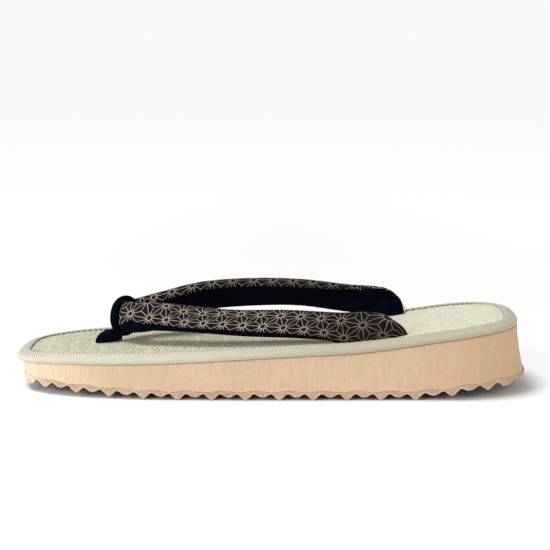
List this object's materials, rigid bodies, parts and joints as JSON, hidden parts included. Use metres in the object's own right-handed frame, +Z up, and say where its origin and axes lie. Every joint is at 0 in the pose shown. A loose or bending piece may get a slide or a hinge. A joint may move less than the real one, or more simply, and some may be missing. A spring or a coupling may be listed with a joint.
{
  "type": "zori sandal",
  "caption": "Zori sandal with a wedge foam sole, rippled outsole, bound rush mat and a padded forked strap held by a toe thong.",
  "frame": {"origin": "on the floor under the middle of the sandal's bounding box", "axes": "+Z up from the floor; -X towards the toe and +X towards the heel; -Y is the side seen in the picture"},
  "size_m": [0.2442, 0.0764, 0.0477],
  "materials": {
    "outsole_foam": "matt moulded foam sheet",
    "midsole_foam": "matt sanded foam",
    "rush": "woven rush",
    "binding_tape": "twill tape",
    "strap_cloth": "printed cotton over padding, velvet lining",
    "velvet": "velvet"
  },
  "bodies": {
    "root": {"outsole": "outsole_foam", "midsole": "midsole_foam", "insole_mat": "rush", "edge_binding": "binding_tape", "hanao_strap": "strap_cloth", "toe_thong": "velvet"}
  },
  "joints": []
}
